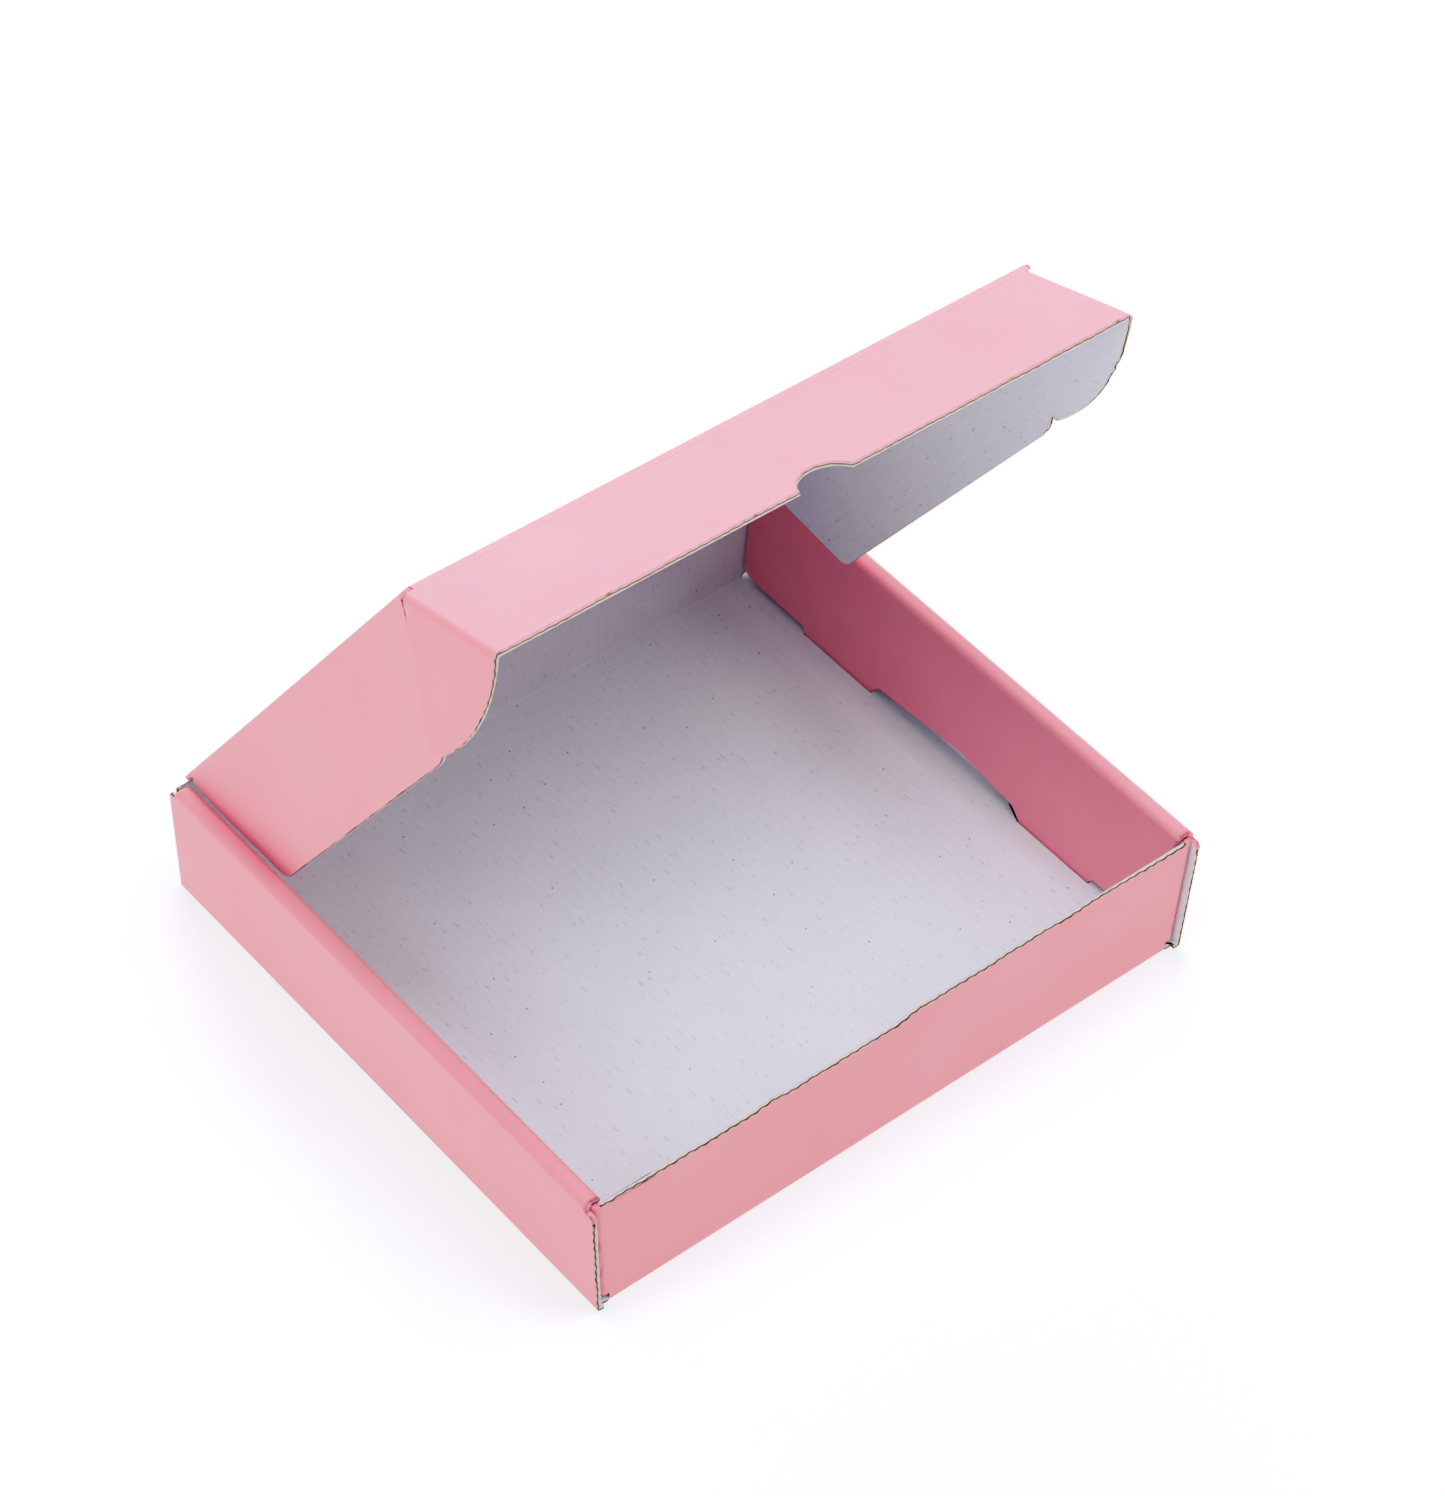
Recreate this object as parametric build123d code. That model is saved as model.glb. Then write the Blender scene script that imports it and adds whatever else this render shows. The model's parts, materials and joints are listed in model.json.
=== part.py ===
from build123d import *
import os

# Board and its folds
board = 1.5             # thickness of the fine-fluted board
bend = 1.15             # radius of a pressed fold, at the middle of the board
roll_bend = 1.5         # softer folds along the top of a rolled side wall
ply_gap = 0.4           # room between two plies that lie side by side
hinge_gap = 0.3         # room kept where the lid and the front flap swing
beyond = 1.0            # cuts start and end this far outside the board

# Tray
tray_width = 200.0      # over the side walls, at the base
tray_depth = 180.0      # over the front and back walls
tray_height = 42.0      # to the top of the rolled side walls
wall_lean = 2.4         # how far each side wall leans out at its top
side_overrun = 1.2      # side panels run past the front and back walls
side_end_drop = 2.7     # side panel's free top corners, below the roll
side_end_round = 2.0
roll_rear_setback = 2.0
roll_rear_slant = 6.0

# Raw top edge of the front wall: (share of half the width, height over front_height)
front_height = 40.3
front_edge = [
    (-1.0, 0.0), (-0.5, -0.8), (-0.43, 0.0), (-0.38, -1.0),
    (-0.03, -1.1), (0.05, 0.5), (0.12, 0.2), (1.0, 0.0),
]

# Inner side panels and the tabs that lock them in the base
tab_length = 29.0
tab_centre = 45.5
tab_fit = 0.2
end_lift = 1.7          # panel edge above the base, outside the tabs
arch_lift = 3.0         # the same, just inside the tabs
arch_peak_lift = 5.8
arch_peak_y = -6.0
edge_slope = 3.0
rear_cut_length = 5.0   # cut-off lower rear corner
rear_cut_height = 2.2
front_taper = 2.0       # front edge runs back on its way down
front_taper_height = 7.0

# Corner flaps, held inside the rolled walls
corner_flap_length = 34.0
corner_flap_lift = 1.7
corner_flap_drop = 1.0
corner_flap_taper = 8.0

# Lid panel and its wings
lid_length = 177.0      # from the rear fold to the front fold
lid_left = 94.75        # outer face of the left wing, from the middle
lid_right = 96.5        # outer face of the right wing at its fold
wing_depth = 38.2       # from the lid's outer face
wing_rear = 4.0         # from the rear fold to the wing
wing_front = 3.0        # from the front fold to the wing
wing_slant = 22.0
wing_rear_round = 5.0
wing_front_round = 12.0

# Front flap and its ears
flap_length = 39.5      # from the front fold to the free edge
ear_fit = 0.25          # between an ear and the wing beside it
ear_length = 41.5       # from the middle of the flap's board
ear_tip = 6.5           # ear's far corner, from the front fold
ear_bulge = 26.5        # middle of the ear's round edge, from the front fold
ear_bulge_depth = 25.5
ear_tip_round = 3.0
right_ear_toe_in = 4.0  # the right ear turns in, clear of its leaning wing
thumb_width = 16.0
thumb_depth = 6.4

# Pose in which the box stands
lid_open = 56.0         # lid above its closed position, in degrees
flap_fold = 40.0        # front flap below the plane of the lid, in degrees

half_board = board / 2
half_width = tray_width / 2
half_depth = tray_depth / 2
roll_width = 3 * board + 2 * ply_gap
wall_reach = half_depth - board - hinge_gap
square_end = half_width - 2 * board - ply_gap - bend
side_end_height = tray_height - side_end_drop
hinge_y = half_depth - half_board
hinge_z = tray_height - half_board
fold_y = hinge_y - lid_length


def lean(z):
    """Distance that a side wall has leant out at a height."""
    return wall_lean * z / tray_height


def folded(points, radius):
    """Section of a folded strip of board along a path."""
    return trace(FilletPolyline(*points, radius=radius), line_width=board)


def outline(*points):
    return make_face(Polyline(*points, close=True))


def along_y(section, start, end):
    """Section drawn as (x, z), run from one y to another."""
    return Pos(0, end, 0) * extrude(Plane.XZ * section, end - start)


def along_x(section, start, end):
    """Section drawn as (y, z), run from one x to another."""
    return Pos(start, 0, 0) * extrude(Plane.YZ * section, end - start)


def block(low, high):
    size = [b - a for a, b in zip(low, high)]
    middle = [(a + b) / 2 for a, b in zip(low, high)]
    return Pos(*middle) * Box(*size)


def both_sides(solid):
    return solid + mirror(solid, about=Plane.YZ)


# Base, with the folds up to the front wall and to the back wall
def base():
    upstand = 3 * board
    path = [(-hinge_y, upstand), (-hinge_y, half_board), (hinge_y, half_board), (hinge_y, upstand)]
    return along_x(folded(path, bend), -square_end, square_end)


# Right outer side panel, with the strip of base that it folds up from
def outer_panel():
    foot = half_width - half_board
    end = half_depth + side_overrun
    path = [(square_end, half_board), (foot + lean(half_board), half_board)]
    path.append((foot + lean(side_end_height), side_end_height))
    panel = along_y(folded(path, bend), -end, end)
    strip_edge = half_width - board - 2 * ply_gap
    overrun = block((square_end - beyond, half_depth, -beyond), (strip_edge, end + beyond, board + beyond))
    corner_y = end - side_end_round
    corner_z = side_end_height - side_end_round
    corner = block((square_end, corner_y, corner_z), (tray_width, end + beyond, side_end_height + beyond))
    corner -= Pos(half_width, corner_y, corner_z) * Rot(0, 90, 0) * Cylinder(side_end_round, 2 * tray_width)
    trim = overrun + corner
    return panel - trim - mirror(trim, about=Plane.XZ)


# What is cut away under and before the right inner panel, drawn as (y, z)
def inner_panel_trim():
    tab_in = tab_centre - tab_length / 2
    tab_out = tab_centre + tab_length / 2
    low = -board
    far = half_depth + beyond
    ends = board + end_lift
    arch = board + arch_lift
    middle = outline(
        (-tab_in, low), (-tab_in, board), (-tab_in + edge_slope, arch),
        (arch_peak_y, board + arch_peak_lift),
        (tab_in - edge_slope, arch), (tab_in, board), (tab_in, low),
    )
    rear = outline(
        (tab_out, low), (tab_out, board), (tab_out + edge_slope / 2, ends),
        (wall_reach - rear_cut_length, ends), (wall_reach, ends + rear_cut_height),
        (far, ends + rear_cut_height), (far, low),
    )
    front_y = front_taper - wall_reach
    front = outline(
        (-tab_out, low), (-tab_out, board), (-tab_out - edge_slope / 2, ends),
        (front_y, ends), (front_y, tray_height - front_taper_height),
        (-wall_reach, tray_height), (-far, tray_height), (-far, low),
    )
    return middle + rear + front


# Right roll: narrow top strip and inner panel, hung from the outer panel
def roll():
    outer_x = half_width - half_board
    inner_x = half_width - roll_width + half_board
    start = side_end_height - 3 * board
    path = [(outer_x + lean(start), start), (outer_x + lean(hinge_z), hinge_z)]
    path += [(inner_x + lean(hinge_z), hinge_z), (inner_x + lean(tab_fit), tab_fit)]
    body = along_y(folded(path, roll_bend), -wall_reach, wall_reach)
    trim_end = half_width - board + lean(start) - ply_gap / 2
    body -= along_x(inner_panel_trim(), half_width - 2 * roll_width, trim_end)
    strip_end = wall_reach - roll_rear_setback
    slant_end = tray_height - roll_rear_slant
    rear_cut = outline(
        (strip_end, tray_height + beyond), (strip_end, tray_height), (wall_reach, slant_end),
        (wall_reach + beyond, slant_end), (wall_reach + beyond, tray_height + beyond),
    )
    return body - along_x(rear_cut, half_width - 2 * roll_width, half_width + roll_width)


# Slots in the base for the tabs of the right inner panel
def tab_slots():
    inner = half_width - roll_width - tab_fit
    outer = inner + board + 2 * tab_fit + lean(board)
    reach = tab_length / 2 + tab_fit
    slot = block((inner, tab_centre - reach, -beyond), (outer, tab_centre + reach, board + beyond))
    return slot + mirror(slot, about=Plane.XZ)


# Front wall or back wall with its two corner flaps, drawn at the front
def end_wall(top):
    flap_x = half_width - board - ply_gap - half_board
    flap_end = corner_flap_length - half_depth
    low = board + corner_flap_lift

    def section(z):
        x = flap_x + lean(z)
        path = [(-x, flap_end), (-x, -hinge_y), (x, -hinge_y), (x, flap_end)]
        return Pos(0, 0, z) * folded(path, bend)

    wall = loft([section(low).face(), section(top).face()], ruled=True)
    flap_top = tray_height - board - corner_flap_drop
    root = bend - hinge_y
    wall -= block((-tray_width, root, flap_top), (tray_width, 0, top + beyond))
    taper_start = flap_end - corner_flap_taper
    slope = outline((taper_start, low), (flap_end, low), (flap_end, flap_top - corner_flap_taper))
    return wall - along_x(slope, -tray_width, tray_width)


# Room over the raw top edge of the front wall
def front_edge_room():
    edge = [(share * half_width, front_height + height) for share, height in front_edge]
    ends = [(tray_width, front_height), (tray_width, tray_height), (-tray_width, tray_height)]
    section = outline(*edge, *ends, (-tray_width, front_height))
    return along_y(section, -half_depth - beyond, bend - hinge_y)


def tray():
    folded_base = base() + both_sides(outer_panel()) - both_sides(tab_slots())
    front = end_wall(tray_height - board) - front_edge_room()
    back = mirror(end_wall(tray_height - board - hinge_gap), about=Plane.XZ)
    return folded_base + both_sides(roll()) + front + back


# Wing outline, drawn as (y, z) with the lid closed
def wing_outline():
    top = hinge_z - half_board
    low = tray_height - wing_depth
    rear = hinge_y - wing_rear
    front = fold_y + wing_front
    wing = outline((rear, top), (rear - wing_slant, low), (front + wing_slant, low), (front, top))
    lower = wing.vertices().group_by(Axis.Y)[0].sort_by(Axis.X)
    wing = fillet(lower[0], wing_front_round)
    lower = wing.vertices().group_by(Axis.Y)[0].sort_by(Axis.X)
    return fillet(lower[-1], wing_rear_round)


# Round end of a board beside a fold that swings
def nose(left, right, y):
    length = right - left - 2 * bend
    return Pos((left + right) / 2, y, hinge_z) * Rot(0, 90, 0) * Cylinder(half_board, length)


# Lid, drawn closed: its panel and two wings
def lid():
    left = half_board - lid_left
    right = lid_right - half_board
    low = tray_height - wing_depth
    path = [(left, low), (left, hinge_z), (right, hinge_z), (right - lean(wing_depth), low)]
    body = along_y(folded(path, bend), fold_y, hinge_y)
    panel_room = block((-tray_width, fold_y, hinge_z - half_board), (tray_width, hinge_y, tray_height))
    body = body & (panel_room + along_x(wing_outline(), -tray_width, tray_width))
    return body + nose(left, right, fold_y) + nose(left, right, hinge_y)


# Front flap with its two ears, drawn in line with the closed lid
def front_flap():
    nose_y = fold_y - board - hinge_gap
    free_y = fold_y - flap_length
    left = -lid_left - ear_fit - half_board
    right = lid_right - board - ear_fit - half_board
    low = hinge_z - ear_length
    path = [(left, low), (left, hinge_z), (right, hinge_z), (right - right_ear_toe_in, low)]
    body = along_y(folded(path, bend), free_y, nose_y)
    top = hinge_z - half_board
    bulge = (fold_y - ear_bulge, hinge_z - ear_bulge_depth)
    far_corner = (fold_y - ear_tip, low)
    round_edge = ThreePointArc((free_y, top), bulge, far_corner)
    straight_edges = Polyline(far_corner, (nose_y, top), (free_y, top))
    ear = make_face([*round_edge.edges(), *straight_edges.edges()])
    ear = fillet(ear.vertices().sort_by(Axis.Y)[0], ear_tip_round)
    panel_room = block((-tray_width, free_y, top), (tray_width, nose_y, tray_height))
    body = body & (panel_room + along_x(ear, -tray_width, tray_width))
    radius = ((thumb_width / 2) ** 2 + thumb_depth**2) / (2 * thumb_depth)
    thumb = Pos((left + right) / 2, free_y + thumb_depth - radius, hinge_z) * Cylinder(radius, 3 * board)
    return body + nose(left, right, nose_y) - thumb


def swing(solid, y, degrees):
    """Turn a solid about a fold that runs along x at the lid's height."""
    return Pos(0, y, hinge_z) * Rot(degrees, 0, 0) * Pos(0, -y, -hinge_z) * solid


nodes = {"tray": tray(), "lid": swing(lid(), hinge_y, -lid_open)}
nodes["front_flap"] = swing(swing(front_flap(), fold_y, flap_fold), hinge_y, -lid_open)

os.makedirs("parts", exist_ok=True)
for name, solid in nodes.items():
    export_step(solid, f"parts/{name}.step")
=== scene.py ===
import json
import math

import bmesh
import bpy
from mathutils import Matrix, Vector
from mathutils.bvhtree import BVHTree


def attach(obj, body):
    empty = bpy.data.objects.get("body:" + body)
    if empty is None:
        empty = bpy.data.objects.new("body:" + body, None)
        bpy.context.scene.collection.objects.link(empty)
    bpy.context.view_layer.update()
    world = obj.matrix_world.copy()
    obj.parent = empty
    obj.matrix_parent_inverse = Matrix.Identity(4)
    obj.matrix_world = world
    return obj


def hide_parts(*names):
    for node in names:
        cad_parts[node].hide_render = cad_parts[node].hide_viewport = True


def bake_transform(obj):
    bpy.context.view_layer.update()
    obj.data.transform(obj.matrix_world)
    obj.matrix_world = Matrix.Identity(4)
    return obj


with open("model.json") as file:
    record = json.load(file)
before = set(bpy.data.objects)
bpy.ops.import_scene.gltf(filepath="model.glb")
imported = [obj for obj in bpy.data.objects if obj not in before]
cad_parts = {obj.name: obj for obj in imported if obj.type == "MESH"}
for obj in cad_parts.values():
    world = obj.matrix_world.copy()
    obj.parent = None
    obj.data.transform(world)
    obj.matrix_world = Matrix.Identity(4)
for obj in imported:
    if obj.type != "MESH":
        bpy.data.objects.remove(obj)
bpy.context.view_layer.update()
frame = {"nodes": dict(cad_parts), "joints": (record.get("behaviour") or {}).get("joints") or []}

# Board: fine-fluted corrugated board, a brown fluted core between two paper liners.
# The outer liner is printed pink before the blank is die-cut, the inner one is left white.
# Where the blank is cut, the core shows as a dark line between the two pale liners.
BOARD = 0.0015
CORE_DEPTH = 0.00015
CRUSH = 0.0003
GRID = 0.005
PRINT, WHITE, RAW = range(3)
LID_OPEN = math.radians(56)
FLAP_FOLD = math.radians(40)
hinges = {joint["name"]: joint for joint in frame["joints"]}
rear_fold = Vector(hinges["lid_hinge"]["pos_m"])
front_fold = Vector(hinges["front_flap_fold"]["pos_m"])


def linear(hex_colour):
    """Turn an sRGB hex colour into the linear values that shaders take."""
    values = [int(hex_colour[i:i + 2], 16) / 255 for i in (0, 2, 4)]
    return tuple(v / 12.92 if v < 0.04045 else ((v + 0.055) / 1.055) ** 2.4 for v in values) + (1,)


def add_node(tree, kind, inputs=None, **settings):
    """Add a node, set its properties, and fill its inputs with values or links."""
    made = tree.nodes.new(kind)
    for name, value in settings.items():
        setattr(made, name, value)
    for name, value in (inputs or {}).items():
        if isinstance(value, bpy.types.NodeSocket):
            tree.links.new(value, made.inputs[name])
        else:
            made.inputs[name].default_value = value
    return made


def new_material(name):
    material = bpy.data.materials.new(name)
    material.use_nodes = True
    return material, material.node_tree, material.node_tree.nodes["Principled BSDF"]


# Printed liner: clay-coated paper with an even matt pink ink, laid over the flutes.
# The flutes print through as faint ridges, and the ink is a little uneven.
FLUTE_PITCH = 0.0033
printed_liner, tree, shader = new_material("printed_clay_coated_liner")
place = add_node(tree, "ShaderNodeTexCoord")
blank = add_node(tree, "ShaderNodeUVMap", uv_map="blank")
across = add_node(tree, "ShaderNodeSeparateXYZ", {"Vector": blank.outputs["UV"]})
phase = add_node(tree, "ShaderNodeMath", {0: across.outputs["X"], 1: 2 * math.pi / FLUTE_PITCH}, operation="MULTIPLY")
ridges = add_node(tree, "ShaderNodeMath", {0: phase.outputs[0]}, operation="SINE")
cloudy = add_node(
    tree, "ShaderNodeTexNoise",
    {"Vector": place.outputs["Object"], "Scale": 22.0, "Detail": 4.0, "Roughness": 0.55},
)
ink = add_node(tree, "ShaderNodeValToRGB", {"Fac": cloudy.outputs["Fac"]})
ink.color_ramp.elements[0].position = 0.3
ink.color_ramp.elements[0].color = linear("EB8A9A")
ink.color_ramp.elements[1].position = 0.7
ink.color_ramp.elements[1].color = linear("EE90A0")
grain = add_node(
    tree, "ShaderNodeTexNoise",
    {"Vector": place.outputs["Object"], "Scale": 900.0, "Detail": 3.0},
)
ridge_bump = add_node(
    tree, "ShaderNodeBump",
    {"Height": ridges.outputs[0], "Strength": 0.25, "Distance": 0.00002},
)
grain_bump = add_node(
    tree, "ShaderNodeBump",
    {"Height": grain.outputs["Fac"], "Strength": 0.2, "Distance": 0.00005, "Normal": ridge_bump.outputs["Normal"]},
)
tree.links.new(ink.outputs["Color"], shader.inputs["Base Color"])
tree.links.new(grain_bump.outputs["Normal"], shader.inputs["Normal"])
shader.inputs["Roughness"].default_value = 0.5
shader.inputs["Specular IOR Level"].default_value = 0.32

# White liner: uncoated white-top paper, seen all over the inside of the tray and the lid.
# It has a cool grey-lilac cast, faint streaks along the flutes that are painted shade in the valleys between the flute
# ridges, short grey dashes and a few dark specks.
white_liner, tree, shader = new_material("white_top_liner")
place = add_node(tree, "ShaderNodeTexCoord")
blank = add_node(tree, "ShaderNodeUVMap", uv_map="blank")
across = add_node(tree, "ShaderNodeSeparateXYZ", {"Vector": blank.outputs["UV"]})
phase = add_node(tree, "ShaderNodeMath", {0: across.outputs["X"], 1: 2 * math.pi / FLUTE_PITCH}, operation="MULTIPLY")
ridges = add_node(tree, "ShaderNodeMath", {0: phase.outputs[0]}, operation="SINE")
cloudy = add_node(
    tree, "ShaderNodeTexNoise",
    {"Vector": place.outputs["Object"], "Scale": 30.0, "Detail": 5.0, "Roughness": 0.6},
)
paper = add_node(tree, "ShaderNodeValToRGB", {"Fac": cloudy.outputs["Fac"]})
paper.color_ramp.elements[0].position = 0.3
paper.color_ramp.elements[0].color = linear("DAD9E4")
paper.color_ramp.elements[1].position = 0.7
paper.color_ramp.elements[1].color = linear("E0DFE9")
specks = add_node(
    tree, "ShaderNodeTexVoronoi", {"Vector": blank.outputs["UV"], "Scale": 90.0}, voronoi_dimensions="2D",
)
near = add_node(tree, "ShaderNodeMapRange", {"Value": specks.outputs["Distance"], "From Min": 0.015, "From Max": 0.035})
chosen = add_node(tree, "ShaderNodeSeparateColor", {"Color": specks.outputs["Color"]})
rare = add_node(tree, "ShaderNodeMath", {0: chosen.outputs[0], 1: 0.22}, operation="GREATER_THAN")
clear = add_node(tree, "ShaderNodeMath", {0: near.outputs[0], 1: rare.outputs[0]}, operation="MAXIMUM")
drawn_out = add_node(
    tree, "ShaderNodeVectorMath", {0: blank.outputs["UV"], 1: (1300.0, 260.0, 1.0)}, operation="MULTIPLY",
)
fibres = add_node(tree, "ShaderNodeTexNoise", {"Vector": drawn_out.outputs[0], "Scale": 1.0, "Detail": 1.0})
dashes = add_node(tree, "ShaderNodeMapRange", {
    "Value": fibres.outputs["Fac"], "From Min": 0.66, "From Max": 0.74, "To Min": 0.0, "To Max": 0.45,
})
# Painted shade: the paper is greyed a little in the valleys of the flute ridges, where the bump is lowest; the grey
# dashes are the paper's own.
valley_shade = add_node(tree, "ShaderNodeMapRange", {
    "Value": ridges.outputs[0], "From Min": 0.2, "From Max": -1.0, "To Min": 0.0, "To Max": 0.04,
})
dashes_and_valley_shade = add_node(tree, "ShaderNodeMath", {0: dashes.outputs[0], 1: valley_shade.outputs[0]}, operation="ADD")
dashed_and_valley_shaded = add_node(
    tree, "ShaderNodeMix", {0: dashes_and_valley_shade.outputs[0], 6: paper.outputs["Color"], 7: linear("A49FAC")}, data_type="RGBA",
)
mix = add_node(
    tree, "ShaderNodeMix", {0: clear.outputs[0], 6: linear("8B8590"), 7: dashed_and_valley_shaded.outputs[2]}, data_type="RGBA",
)
ridge_bump = add_node(
    tree, "ShaderNodeBump",
    {"Height": ridges.outputs[0], "Strength": 0.25, "Distance": 0.00002},
)
tree.links.new(mix.outputs[2], shader.inputs["Base Color"])
tree.links.new(ridge_bump.outputs["Normal"], shader.inputs["Normal"])
shader.inputs["Roughness"].default_value = 0.75
shader.inputs["Specular IOR Level"].default_value = 0.3

# Raw edge: where the die has cut and crushed the board. The brown recycled fluting shows as a thin broken dark line
# under the printed liner, made darker with painted shade for the shadowed hollows between the flutes, and the inner
# liner's cut is a pale line beside it.
# The edge's own map gives the place along the flutes in metres and the depth from 0 to 1.
raw_edge, tree, shader = new_material("cut_corrugated_board")
place = add_node(tree, "ShaderNodeTexCoord")
blank = add_node(tree, "ShaderNodeUVMap", uv_map="blank")
across = add_node(tree, "ShaderNodeSeparateXYZ", {"Vector": blank.outputs["UV"]})
phase = add_node(tree, "ShaderNodeMath", {0: across.outputs["X"], 1: 2 * math.pi / FLUTE_PITCH}, operation="MULTIPLY")
swing = add_node(tree, "ShaderNodeMath", {0: phase.outputs[0]}, operation="SINE")
wave = add_node(
    tree, "ShaderNodeMath", {0: swing.outputs[0], 1: 0.07, 2: across.outputs["Y"]}, operation="MULTIPLY_ADD",
)
crush = add_node(tree, "ShaderNodeTexNoise", {"Vector": place.outputs["Object"], "Scale": 140.0, "Detail": 3.0})
crushed = add_node(tree, "ShaderNodeMapRange", {
    "Value": crush.outputs["Fac"], "From Min": 0.3, "From Max": 0.7, "To Min": 0.08, "To Max": -0.16,
})
reach = add_node(tree, "ShaderNodeMath", {0: wave.outputs[0], 1: crushed.outputs[0]}, operation="SUBTRACT")
layers = add_node(tree, "ShaderNodeValToRGB", {"Fac": reach.outputs[0]})
layers.color_ramp.elements[0].position = 0.0
layers.color_ramp.elements[0].color = linear("D9A0A8")
layers.color_ramp.elements[1].position = 1.0
layers.color_ramp.elements[1].color = linear("CFC8C9")
# The darkest stops are the brown fluting's own colour darkened with painted shade for the hollows between the flutes.
for position, colour in ((0.16, "C09A98"), (0.24, "5E443E"), (0.36, "4A342F"), (0.47, "84705F"), (0.56, "C8BFBB")):
    layers.color_ramp.elements.new(position).color = linear(colour)
tree.links.new(layers.outputs["Color"], shader.inputs["Base Color"])
shader.inputs["Roughness"].default_value = 0.95
shader.inputs["Specular IOR Level"].default_value = 0.1


# Tray: the part of the blank that makes the base, the front and back walls with their corner
# flaps, and the side walls that roll over them and lock in the base. It is folded, not glued.
THICKNESS_SLACK = BOARD / 8
FACES_AWAY = -0.85
SAME_SHEET = 0.3


def is_liner(face, surface):
    """A face is a liner where the board's other side lies one board's thickness behind it."""
    start = face.calc_center_median() - face.normal * BOARD / 100
    hit, normal, _, depth = surface.ray_cast(start, -face.normal, 2 * BOARD)
    return hit is not None and abs(depth - BOARD) < THICKNESS_SLACK and normal.dot(face.normal) < FACES_AWAY


def spread(seed, liners):
    """All liner faces that are reached from one without crossing a cut edge."""
    reached = {seed}
    waiting = [seed]
    while waiting:
        face = waiting.pop()
        for edge in face.edges:
            for other in edge.link_faces:
                if other in liners and other not in reached and other.normal.dot(face.normal) > SAME_SHEET:
                    reached.add(other)
                    waiting.append(other)
    return reached


def way_of_blank(normal):
    """The two axes, across and along the flutes, on a panel that faces one way."""
    if abs(normal.x) > 0.5:
        return 1
    return 2 if abs(normal.y) > 0.5 else 0


BLANK_AXES = ((0, 1), (2, 1), (0, 2))


def about(point, angle):
    """Turn about a fold, which runs along x through a point."""
    pivot = Matrix.Translation(point)
    return pivot @ Matrix.Rotation(angle, 4, "X") @ pivot.inverted()


PANEL_HALF = 0.0925
FOLD_END = 0.001
EAR_ROOT = 0.014


def at_swinging_fold(place):
    """Whether a place of the closed box lies on the board's pressed end at a swinging fold."""
    reach = FOLD_END if abs(place.x) < PANEL_HALF else EAR_ROOT
    return (place - rear_fold).yz.length < FOLD_END or (place - closed_fold).yz.length < reach


close_lid = about(rear_fold, LID_OPEN)
closed_fold = close_lid @ front_fold


ONE_PLANE = math.radians(0.5)
EDGE_CUTS = 4


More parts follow.
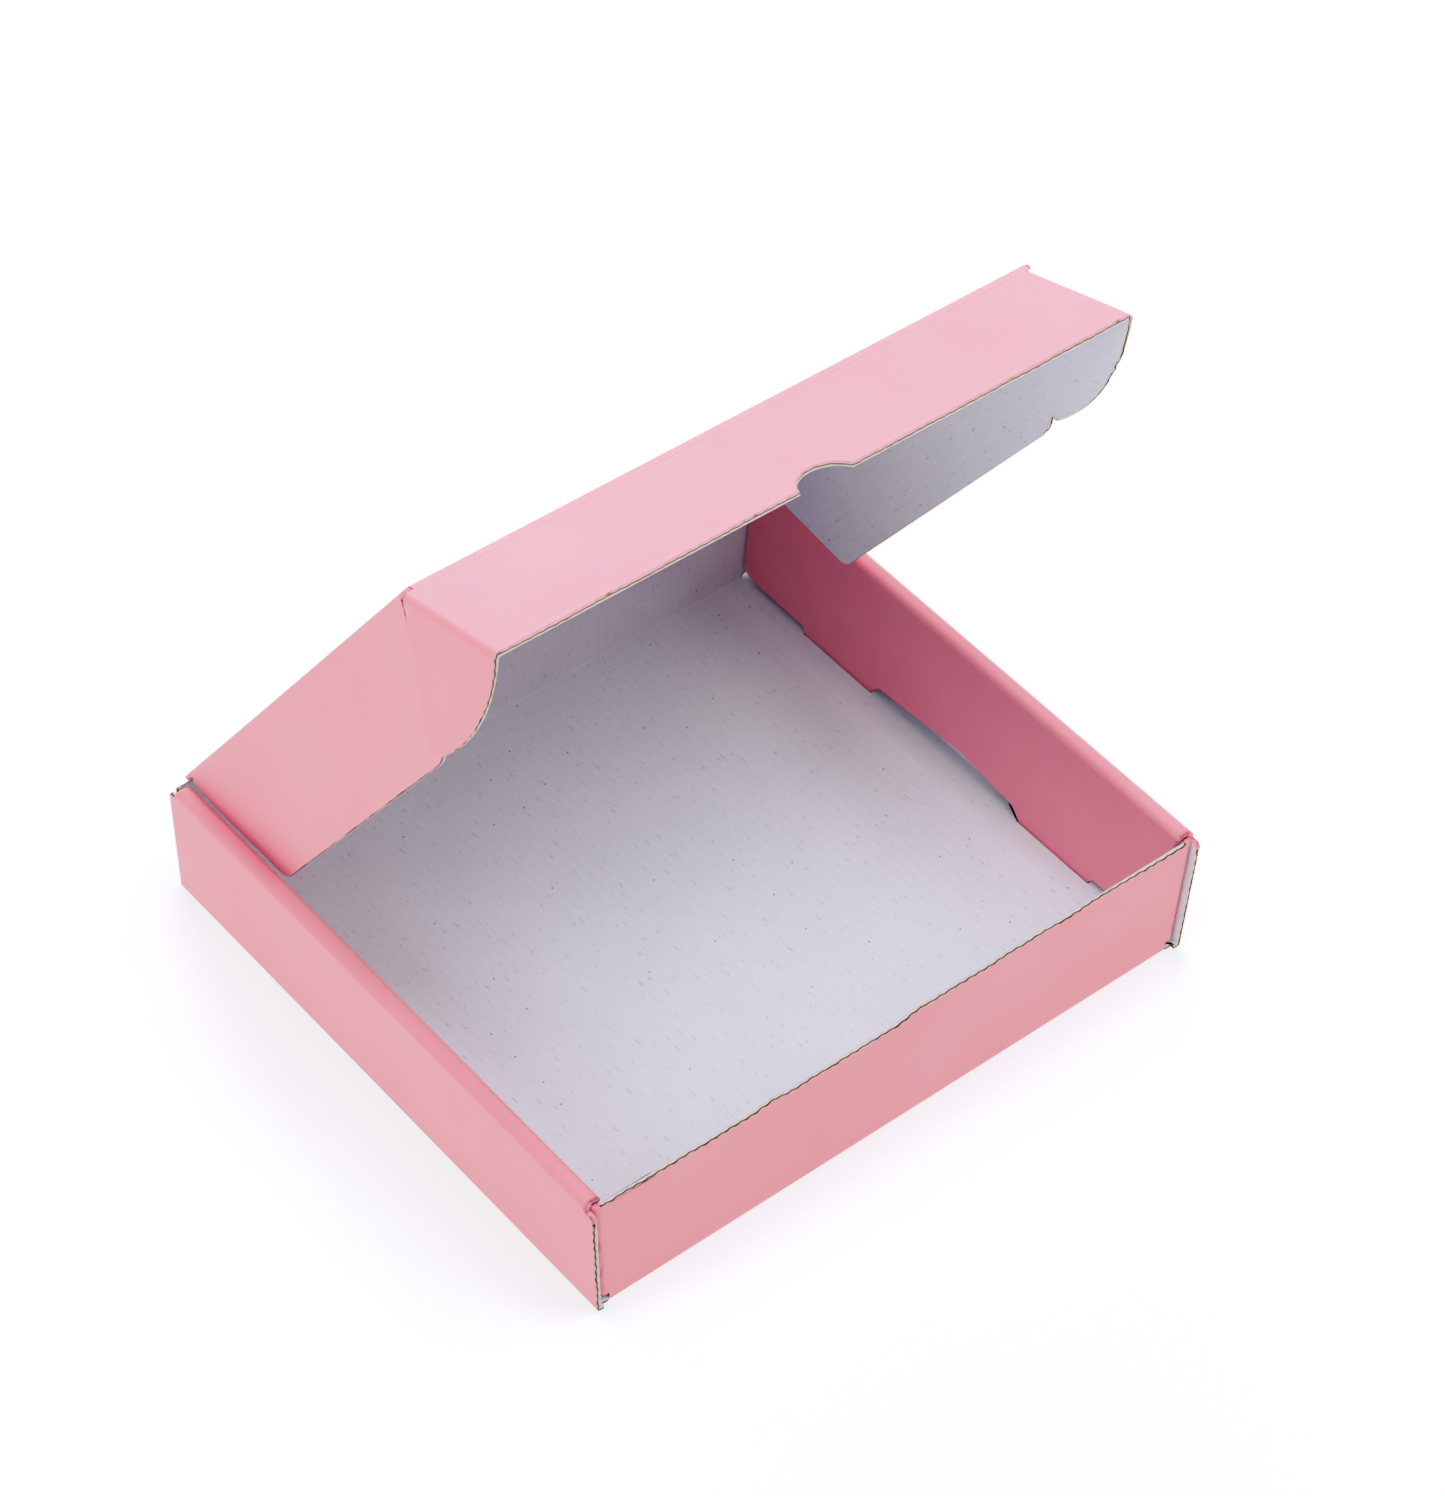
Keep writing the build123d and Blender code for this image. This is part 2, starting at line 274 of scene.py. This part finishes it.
def dress_board(node, name, printed_way, relaxed, closed=Matrix()):
    """Copy a node's board, finish its two liners and its raw edges, and let its folds relax."""
    mesh = frame["nodes"][node].data.copy()
    mesh.name = name
    mesh.materials.clear()
    for material in (printed_liner, white_liner, raw_edge):
        mesh.materials.append(material)
    board = bmesh.new()
    board.from_mesh(mesh)
    bmesh.ops.transform(board, matrix=closed, verts=board.verts)
    bmesh.ops.remove_doubles(board, verts=board.verts, dist=BOARD / 200)
    bmesh.ops.dissolve_degenerate(board, edges=board.edges, dist=BOARD / 200)
    board.normal_update()
    surface = BVHTree.FromBMesh(board)
    liners = {face for face in board.faces if is_liner(face, surface)}
    outermost = max(liners, key=lambda face: face.calc_center_median().dot(printed_way) + face.normal.dot(printed_way))
    printed = spread(outermost, liners)
    for face in board.faces:
        face.smooth = True
        face.material_index = PRINT if face in printed else WHITE if face in liners else RAW
        if face.material_index == RAW and at_swinging_fold(face.calc_center_median()):
            face.material_index = PRINT
    bmesh.ops.dissolve_limit(
        board, angle_limit=ONE_PLANE, verts=board.verts, edges=board.edges, delimit={"MATERIAL"},
    )
    for axis in range(3):
        low = min(vert.co[axis] for vert in board.verts)
        high = max(vert.co[axis] for vert in board.verts)
        direction = Vector((axis == 0, axis == 1, axis == 2))
        for step in range(1, int((high - low) / GRID) + 1):
            bmesh.ops.bisect_plane(
                board, geom=board.verts[:] + board.edges[:] + board.faces[:], dist=BOARD / 1000,
                plane_co=direction * (low + step * GRID), plane_no=direction,
            )
    way = board.faces.layers.int.new("way")
    for face in board.faces:
        if face.material_index != RAW:
            face[way] = way_of_blank(face.normal)
    raw = [face for face in board.faces if face.material_index == RAW]
    for face in raw:
        beside = [
            (edge.calc_length(), other[way])
            for edge in face.edges for other in edge.link_faces
            if other.material_index != RAW
        ]
        face[way] = max(beside)[1] if beside else 0
    bmesh.ops.triangulate(board, faces=raw)
    depth = board.verts.layers.float.new("depth")
    for vert in board.verts:
        kinds = {face.material_index for face in vert.link_faces}
        vert[depth] = 0.5 if {PRINT, WHITE} <= kinds else 1.0 if WHITE in kinds else 0.0
    through = [
        edge for edge in board.edges
        if all(face.material_index == RAW for face in edge.link_faces)
        and abs(edge.verts[0][depth] - edge.verts[1][depth]) == 1
    ]
    bmesh.ops.subdivide_edges(board, edges=through, cuts=EDGE_CUTS)
    board.normal_update()
    middle = [vert for vert in board.verts if all(face.material_index == RAW for face in vert.link_faces)]
    moves = {vert: vert.normal * -CORE_DEPTH for vert in middle if 0.3 < vert[depth] < 0.7}
    for vert in board.verts:
        cut = [face for face in vert.link_faces if face.material_index == RAW]
        if cut and vert not in moves and len(cut) < len(vert.link_faces):
            outwards = sum((face.normal * face.calc_area() for face in cut), Vector()).normalized()
            moves[vert] = outwards * -CRUSH
    for vert, move in moves.items():
        vert.co += move
    for edge in board.edges:
        ends = {face.material_index for face in edge.link_faces}
        edge.smooth = len(ends) == 1 and RAW not in ends
    blank_map = board.loops.layers.uv.new("blank")
    for face in board.faces:
        across_axis, along_axis = BLANK_AXES[face[way]]
        for loop in face.loops:
            place_across = loop.vert.co[across_axis]
            if face.material_index == RAW:
                loop[blank_map].uv = place_across, loop.vert[depth]
            else:
                loop[blank_map].uv = place_across, loop.vert.co[along_axis]
    for vert in board.verts:
        vert.co = relaxed(vert.co)
    bmesh.ops.transform(board, matrix=closed.inverted(), verts=board.verts)
    board.to_mesh(mesh)
    board.free()
    piece = bpy.data.objects.new(name, mesh)
    bpy.context.scene.collection.objects.link(piece)
    shading = piece.modifiers.new("flat_panels", "WEIGHTED_NORMAL")
    shading.keep_sharp = True
    shading.weight = 100
    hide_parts(node)
    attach(piece, node)
    return piece


FOLD_BEND = 0.0019
BENT_FROM, BENT_TO = 0.7 * FOLD_BEND, 1.02 * FOLD_BEND
PRESSED = 0.6
TRAY_HALF = 0.1, 0.09
WALL_LEAN = 0.0571
SIDE_PANEL = 0.0965
PANEL_END = 0.0885
PANEL_END_RUN = 0.0027
PANEL_SETBACK = 0.0014
PANEL_SLANT = 0.02


def smooth_step(value):
    value = min(max(value, 0), 1)
    return value * value * (3 - 2 * value)


def relaxed_tray(place):
    """Press the folds round the base sharper, and set the left side panel's rear end forward."""
    moved = place.copy()
    axis = 0 if abs(place.x) > SIDE_PANEL else 1
    face = TRAY_HALF[axis] + (WALL_LEAN * place.z if axis == 0 else 0)
    inwards = FOLD_BEND - (face - abs(place[axis]))
    down = FOLD_BEND - place.z
    radius = math.hypot(inwards, down)
    if inwards > 0 and down > 0 and BENT_FROM < radius < BENT_TO:
        stretch = PRESSED * (radius / max(inwards, down) - 1)
        moved[axis] += math.copysign(inwards * stretch, place[axis])
        moved.z = max(place.z - down * stretch, 0)
    if place.x < -SIDE_PANEL:
        setback = PANEL_SETBACK + PANEL_SLANT * place.z
        moved.y -= setback * smooth_step((place.y - PANEL_END) / PANEL_END_RUN)
    return moved


dress_board("tray", "tray_board", Vector((0, 0, -1)), relaxed_tray)


# Lid: one panel with a wing folded down at each side. It is the same blank, past the rear fold.
# Its folds have sprung a little, so the wings stand out more towards the front, it hangs lower on the
# right, and the left wing's rear edge reaches further back. Lengths beside "back" are in mm.
LID_LENGTH = 177
FLAP_LENGTH = 39.5
WING_DEPTH = 38.2
SIDE_FACE = 0.09475, 0.0965
SIDE_FOLD = 0.093
LATE_RISE = 4
LEFT_FOLD, LEFT_EASE, LEFT_EASE_RUN, LEFT_ON_FLAP = 1.9, 0.5, 60, 1.0
RIGHT_FOLD, RIGHT_RISE, RIGHT_RISE_RUN, RIGHT_ON_FLAP = 0.3, 1.0, 120, 0.9
HANG, TWIST = 0.62, 8.5


def to_side(x):
    """Share of the way from the middle of the panel to its side folds, rising late."""
    return min(abs(x) / SIDE_FOLD, 1) ** LATE_RISE


def pressed_side(place):
    """Press the lid's side folds sharper than the solid's round bends."""
    inwards = FOLD_BEND - (SIDE_FACE[place.x > 0] - abs(place.x))
    up = FOLD_BEND - (rear_fold.z + BOARD / 2 - place.z)
    radius = math.hypot(inwards, up)
    if inwards <= 0 or up <= 0 or not BENT_FROM < radius < BENT_TO:
        return place.copy()
    stretch = PRESSED * (radius / max(inwards, up) - 1)
    return place + Vector((math.copysign(inwards * stretch, place.x), 0, up * stretch))


def fold_spread(x, back):
    """How far a side fold stands out, at a distance from the rear fold, in mm."""
    on_flap = smooth_step((back - LID_LENGTH) / FLAP_LENGTH)
    if x < 0:
        return LEFT_FOLD - LEFT_EASE * smooth_step(back / LEFT_EASE_RUN) + LEFT_ON_FLAP * on_flap
    return RIGHT_FOLD + RIGHT_RISE * smooth_step(back / RIGHT_RISE_RUN) + RIGHT_ON_FLAP * on_flap


def hang(x, back):
    """How far the lid hangs at a distance from the rear fold, in mm: lower on the right."""
    return min(back / LID_LENGTH, 1) * (-HANG - TWIST * x)


FRONT_START, FRONT_RUN, FRONT_SPREAD = 148, 30, 2.0
LEFT_LEAN, LEFT_LEAN_RISE, RIGHT_LEAN_RISE = 0.17, 0.0138, 0.016
REACH_BELOW = 0.06
REACH, REACH_MORE, REACH_RUN, REACH_EASE = 1.6, 2.7, 0.3, 0.3
REAR_SLANT, REAR_RUN = 20, 40


def relaxed_lid(place):
    """Let the wings stand out, the lid hang, and the left wing's rear edge reach further back."""
    back = (rear_fold.y - place.y) * 1000
    depth = max(rear_fold.z - place.z, 0) * 1000 / WING_DEPTH
    low = LEFT_LEAN + LEFT_LEAN_RISE * back if place.x < 0 else RIGHT_LEAN_RISE * back
    low += FRONT_SPREAD * smooth_step((back - FRONT_START) / FRONT_RUN)
    at_fold = fold_spread(place.x, back)
    outwards = math.copysign(to_side(place.x) * (at_fold + (low - at_fold) * depth), place.x)
    backwards = 0
    if place.x < 0 and depth > REACH_BELOW:
        reach = REACH + REACH_MORE * smooth_step(depth / REACH_RUN) - REACH_EASE * depth
        at_rear = 1 - smooth_step((back - REAR_SLANT * depth) / REAR_RUN)
        backwards = reach * to_side(place.x) * at_rear
    return pressed_side(place) + Vector((outwards, backwards, hang(place.x, back))) / 1000


dress_board("lid", "lid_board", Vector((0, 0, 1)), relaxed_lid, close_lid)


# Front flap: the end of the blank, with a thumb notch in its free edge and an ear at each end.
# The left ear's rear rim is pressed thin against the wing that it lies on.
flatten_flap = close_lid @ about(front_fold, -FLAP_FOLD)
EAR_SPREAD = {-1: 5.3, 1: 4.0}
lid_up = Matrix.Rotation(-FLAP_FOLD, 3, "X") @ Vector((0, 0, 1))
EAR_RIM = Vector((0, -0.08955, 0.0405))
EAR_RIM_WAY = Vector((0, -0.0047, -0.04075)).normalized()
RIM_WIDTH = 0.003
RIM_PRESS = 0.8
EAR_INNER_FACE = 0.095
FOLD_ROOM = 0.9
FOLD_ROOM_END = 1.5


def relaxed_flap(place):
    """Let the ears stand out, press the left one's rear rim thin, and keep the flap's end off the lid."""
    back = (rear_fold.y - place.y) * 1000
    depth = max(rear_fold.z - place.z, 0) * 1000 / WING_DEPTH
    side = math.copysign(1, place.x)
    at_fold = fold_spread(place.x, back)
    share = depth if side < 0 else depth * depth
    outwards = side * to_side(place.x) * (at_fold + (EAR_SPREAD[side] - at_fold) * share)
    if place.x < -EAR_INNER_FACE:
        from_rim = (place - EAR_RIM).cross(EAR_RIM_WAY).length
        pressed = RIM_PRESS * (1 - smooth_step(from_rim / RIM_WIDTH))
        outwards += 1000 * pressed * (-EAR_INNER_FACE - place.x)
    setback = max(-hang(place.x, back), 0) * FOLD_ROOM if back < LID_LENGTH + FOLD_ROOM_END else 0
    return pressed_side(place) + (Vector((outwards, -setback, 0)) + lid_up * hang(place.x, back)) / 1000


dress_board("front_flap", "front_flap_board", Vector((0, 0, 1)), relaxed_flap, flatten_flap)


# Swinging folds: the board is pressed thin along a fold, so only its two liners bridge it. The pink
# one goes round outside and the white one lies in the crook.
LINER = 0.00022
LIFT = 0.00003
LAP = 0.0024
STRIP_ENDS = (-0.0929, 0.0947)
LAP_STEPS, ROUND_STEPS, LENGTH_CUTS = 4, 8, 40
LONG_EDGE = 0.1
SHARP_EDGE = math.radians(40)


def bridge_fold(name, material, pivot, out, first_way, turn, back):
    """Sweep a thin liner over a fold: along one panel, round the fold or across it, and along the other."""
    outside = material == printed_liner
    strip = bmesh.new()
    away = out if outside else -out
    surface = BOARD / 2 + LIFT
    early = 0 if outside else surface * math.tan(turn / 2)
    start = pivot - first_way * LAP + away * surface
    last = [strip.edges.new([strip.verts.new(start + Vector((x, 0, 0))) for x in STRIP_ENDS])]

    def run(way):
        nonlocal last
        for _ in range(LAP_STEPS):
            swept = bmesh.ops.extrude_edge_only(strip, edges=last)["geom"]
            bmesh.ops.translate(
                strip, vec=way * (LAP - early) / LAP_STEPS,
                verts=[part for part in swept if isinstance(part, bmesh.types.BMVert)],
            )
            free = [part for part in swept if isinstance(part, bmesh.types.BMEdge) and len(part.link_faces) == 1]
            last = [edge for edge in free if edge.calc_length() > LONG_EDGE]

    run(first_way)
    bend = pivot if outside else pivot - first_way * early + away * surface
    if outside:
        around = last + list(last[0].verts)
        swept = bmesh.ops.spin(strip, geom=around, cent=bend, axis=(1, 0, 0), angle=turn, steps=ROUND_STEPS)
        last = [part for part in swept["geom_last"] if isinstance(part, bmesh.types.BMEdge)]
    run(Matrix.Rotation(turn, 3, "X") @ first_way)
    long_edges = [edge for edge in strip.edges if edge.calc_length() > LONG_EDGE]
    bmesh.ops.subdivide_edges(strip, edges=long_edges, cuts=LENGTH_CUTS)
    bmesh.ops.recalc_face_normals(strip, faces=strip.faces)
    strip.faces.ensure_lookup_table()
    if strip.faces[0].normal.dot(away) < 0:
        bmesh.ops.reverse_faces(strip, faces=strip.faces)
    bmesh.ops.solidify(strip, geom=strip.faces[:], thickness=LINER)
    fold_map = strip.loops.layers.uv.new("blank")
    for face in strip.faces:
        face.smooth = True
        for loop in face.loops:
            loop[fold_map].uv = loop.vert.co.x, loop.vert.co.y
    for edge in strip.edges:
        edge.smooth = edge.calc_face_angle(0) < SHARP_EDGE
    lid_normal = close_lid.to_3x3().inverted() @ Vector((0, 0, 1))
    for vert in strip.verts:
        spread_out = math.copysign(to_side(vert.co.x) * fold_spread(vert.co.x, back), vert.co.x)
        vert.co += (Vector((spread_out, 0, 0)) + lid_normal * hang(vert.co.x, back)) / 1000
    mesh = bpy.data.meshes.new(name)
    strip.to_mesh(mesh)
    strip.free()
    mesh.materials.append(material)
    piece = bpy.data.objects.new(name, mesh)
    bpy.context.scene.collection.objects.link(piece)
    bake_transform(piece)


up_wall = Vector((0, 0, 1))
up_lid = Vector((0, -math.cos(LID_OPEN), math.sin(LID_OPEN)))
outwards_wall = Vector((0, 1, 0))
outwards_lid = Vector((0, math.sin(LID_OPEN), math.cos(LID_OPEN)))
for side, liner in (("outside", printed_liner), ("inside", white_liner)):
    bridge_fold(
        "rear_fold_" + side, liner, rear_fold, outwards_wall, up_wall, math.pi / 2 - LID_OPEN, 0,
    )
    bridge_fold(
        "front_fold_" + side, liner, front_fold, outwards_lid, up_lid, FLAP_FOLD, LID_LENGTH,
    )


# Floor: a wide pale sheet with an even glow of its own, so it stays white around the box and little
# but the contact shadow shows on it.
FLOOR_HALF = 40
floor_mesh = bpy.data.meshes.new("floor")
floor_sheet = bmesh.new()
bmesh.ops.create_grid(floor_sheet, x_segments=1, y_segments=1, size=FLOOR_HALF)
floor_sheet.to_mesh(floor_mesh)
floor_sheet.free()
floor = bpy.data.objects.new("floor", floor_mesh)
bpy.context.scene.collection.objects.link(floor)
floor_paper, tree, shader = new_material("white_backdrop_paper")
shader.inputs["Base Color"].default_value = linear("A8B0AE")
shader.inputs["Roughness"].default_value = 0.9
shader.inputs["Specular IOR Level"].default_value = 0.0
shader.inputs["Emission Color"].default_value = linear("FFFFFF")
shader.inputs["Emission Strength"].default_value = 1.0
floor_mesh.materials.append(floor_paper)

# Light: a dim room, and large square soft boxes overhead and all round. The lowest one stands
# behind the box on its right, 20 degrees up.
LAMP_SIZE = 1.2
LAMP_DISTANCE = 1.8
world = bpy.data.worlds.new("dim_studio")
bpy.context.scene.world = world
world.use_nodes = True
dim = world.node_tree.nodes["Background"]
dim.inputs["Color"].default_value = linear("FFFFFF")
dim.inputs["Strength"].default_value = 0.13


def soft_box(name, azimuth, elevation, energy):
    """Hang a large square light that faces the box from a side, counted from the front to the right."""
    lamp = bpy.data.lights.new(name, "AREA")
    lamp.size = LAMP_SIZE
    lamp.energy = energy
    hung = bpy.data.objects.new(name, lamp)
    bpy.context.scene.collection.objects.link(hung)
    level = math.cos(math.radians(elevation))
    towards = Vector((
        math.sin(math.radians(azimuth)) * level, -math.cos(math.radians(azimuth)) * level,
        math.sin(math.radians(elevation)),
    ))
    hung.location = LAMP_DISTANCE * towards
    hung.rotation_euler = towards.to_track_quat("Z", "Y").to_euler()


soft_box("overhead_box", 0, 89, 16.8)
soft_box("back_box", 180, 35, 7.8)
soft_box("back_right_box", 150, 20, 15)
soft_box("left_box", 270, 35, 12.6)
soft_box("back_left_box", 225, 45, 2.2)
soft_box("front_box", 0, 60, 3.6)
soft_box("front_right_box", 45, 45, 10.8)
soft_box("right_box", 90, 35, 5.7)

# Picture: plain sRGB with the photograph's contrast, a slightly deep toe and a soft shoulder, and
# a second curve that lifts blue a little in the middle tones and lowers it in the dark ones.
SHOULDER = 2.0
view = bpy.context.scene.view_settings
view.view_transform = "Standard"
view.use_curve_mapping = True
tone = view.curve_mapping
tone.white_level = (SHOULDER, SHOULDER, SHOULDER)
curve = tone.curves[3]
for scene_light, shown in (
    (0.04, 0.018), (0.081, 0.05), (0.129, 0.1), (0.215, 0.2), (0.35, 0.35), (0.509, 0.5),
    (0.722, 0.65), (1.053, 0.8), (1.42, 0.88), (1.55, 1.0),
):
    curve.points.new(scene_light / SHOULDER, shown)
for shown, blue in (
    (0.08, 0.08), (0.13, 0.127), (0.2, 0.185), (0.3, 0.3), (0.4, 0.415), (0.5, 0.52), (0.62, 0.645), (0.72, 0.75),
):
    tone.curves[2].points.new(shown, blue)
tone.update()

# Camera: the photograph's own place and lens, worked out from the box's edges.
PHOTO_WIDTH = 1445
FOCAL_PIXELS = 4938.3
CAMERA_AZIMUTH = math.radians(-41.33)
CAMERA_ELEVATION = math.radians(46.57)
CAMERA_ROLL = math.radians(2.74)
CAMERA_DISTANCE = 1.37481
CAMERA_TARGET = Vector((0.04864, 0.04058, 0))
camera_data = bpy.data.cameras.new("photo_camera")
camera_data.sensor_fit = "HORIZONTAL"
camera_data.sensor_width = 36
camera_data.lens = FOCAL_PIXELS / PHOTO_WIDTH * camera_data.sensor_width
camera = bpy.data.objects.new("photo_camera", camera_data)
bpy.context.scene.collection.objects.link(camera)
level = math.cos(CAMERA_ELEVATION)
behind = Vector((
    math.sin(CAMERA_AZIMUTH) * level, -math.cos(CAMERA_AZIMUTH) * level, math.sin(CAMERA_ELEVATION),
))
aim = behind.to_track_quat("Z", "Y").to_matrix().to_4x4()
camera.matrix_world = (
    Matrix.Translation(CAMERA_TARGET + behind * CAMERA_DISTANCE) @ aim @ Matrix.Rotation(CAMERA_ROLL, 4, "Z")
)
bpy.context.scene.camera = camera
